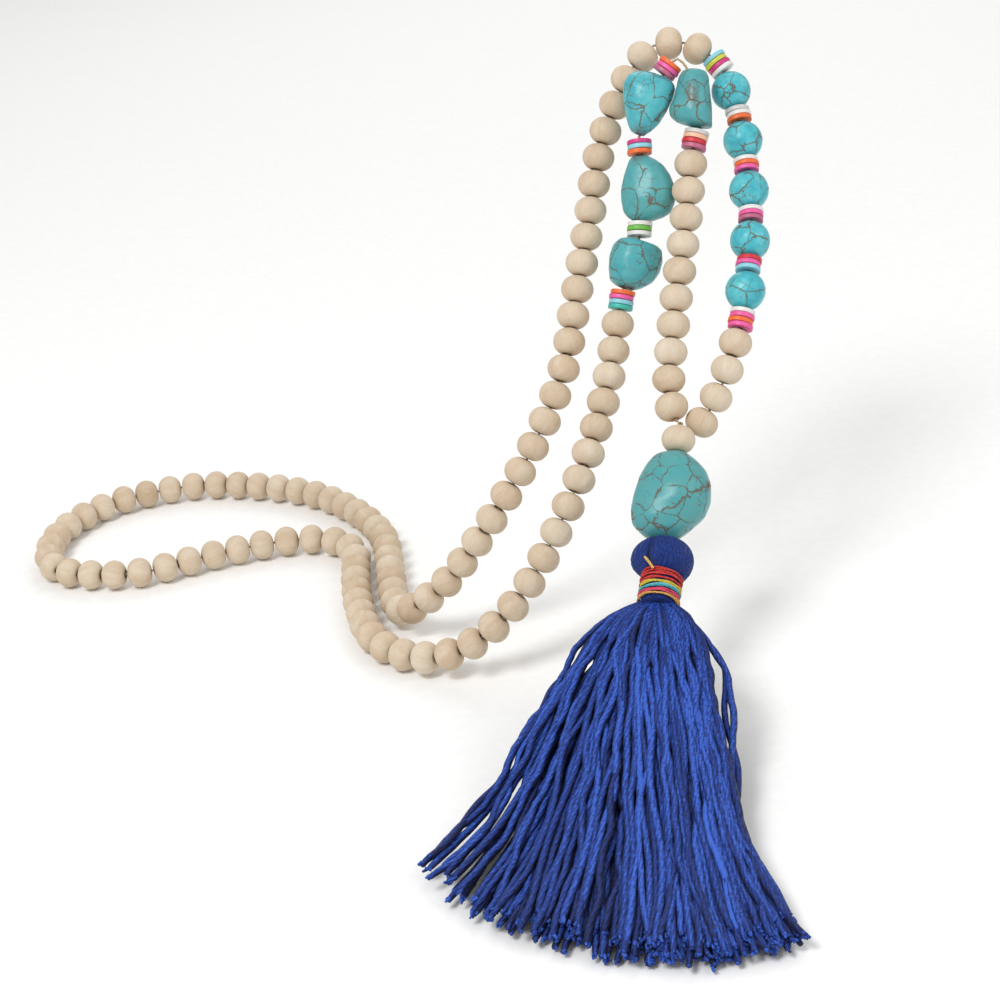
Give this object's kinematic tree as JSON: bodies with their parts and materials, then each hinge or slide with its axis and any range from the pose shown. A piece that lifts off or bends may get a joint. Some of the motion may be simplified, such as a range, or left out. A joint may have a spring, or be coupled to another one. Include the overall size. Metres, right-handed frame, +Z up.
{
  "type": "tassel necklace",
  "caption": "Long necklace: a draped loop of round wood beads with turquoise stones and coloured discs, a stone pendant and a blue cotton tassel with bound neck.",
  "frame": {"origin": "Where the draped loop hangs: on the thread's top, between the hairpin of the nuggets and the bead arch behind it.", "axes": "+Z up, -Y towards the tassel and the viewer, +X to the right of somebody who looks at the necklace from the tassel's side; the lowest beads and tassel tips are 0.124 m under the origin."},
  "size_m": [0.2038, 0.2578, 0.1347],
  "materials": {
    "wood": "matte, fine straight grain",
    "turquoise": "polished stone with brown veins",
    "thread": "waxed cotton thread",
    "tassel_cotton": "soft twisted cotton yarn",
    "binding_red": "cotton binding thread",
    "binding_yellow": "cotton binding thread",
    "binding_turquoise": "cotton binding thread",
    "binding_crimson": "cotton binding thread",
    "binding_gold": "cotton binding thread",
    "disc_magenta": "dyed clay or shell, satin",
    "disc_pink": "dyed clay or shell, satin",
    "disc_orange": "dyed clay or shell, satin",
    "disc_light_blue": "dyed clay or shell, satin",
    "disc_teal": "dyed clay or shell, satin",
    "disc_lime": "dyed clay or shell, satin",
    "disc_white": "dyed clay or shell, satin",
    "disc_grey_white": "dyed clay or shell, satin",
    "disc_peach": "dyed clay or shell, satin",
    "disc_red": "dyed clay or shell, satin",
    "disc_mauve": "dyed clay or shell, satin",
    "disc_green": "dyed clay or shell, satin"
  },
  "bodies": {
    "root": {"joint_bead": "wood", "beads_front_left": "wood", "beads_front_right": "wood", "beads_back_inner": "wood", "beads_back_outer": "wood", "turquoise_round_1": "turquoise", "turquoise_round_2": "turquoise", "turquoise_round_3": "turquoise", "turquoise_round_4": "turquoise", "turquoise_round_5": "turquoise", "nugget_1": "turquoise", "nugget_2": "turquoise", "nugget_3": "turquoise", "nugget_4": "turquoise", "pendant_nugget": "turquoise", "discs_a0": "disc_mauve", "discs_a1": "disc_orange", "discs_a2": "disc_magenta", "discs_a3": "disc_white", "discs_a4": "disc_orange", "discs_b0": "disc_pink", "discs_b1": "disc_light_blue", "discs_b2": "disc_mauve", "discs_b3": "disc_pink", "discs_b4": "disc_orange", "discs_b5": "disc_white", "thread": "thread", "tassel": "tassel_cotton", "binding_red": "binding_red", "binding_yellow": "binding_yellow", "binding_turquoise": "binding_turquoise", "binding_crimson": "binding_crimson", "binding_gold": "binding_gold"}
  },
  "joints": []
}
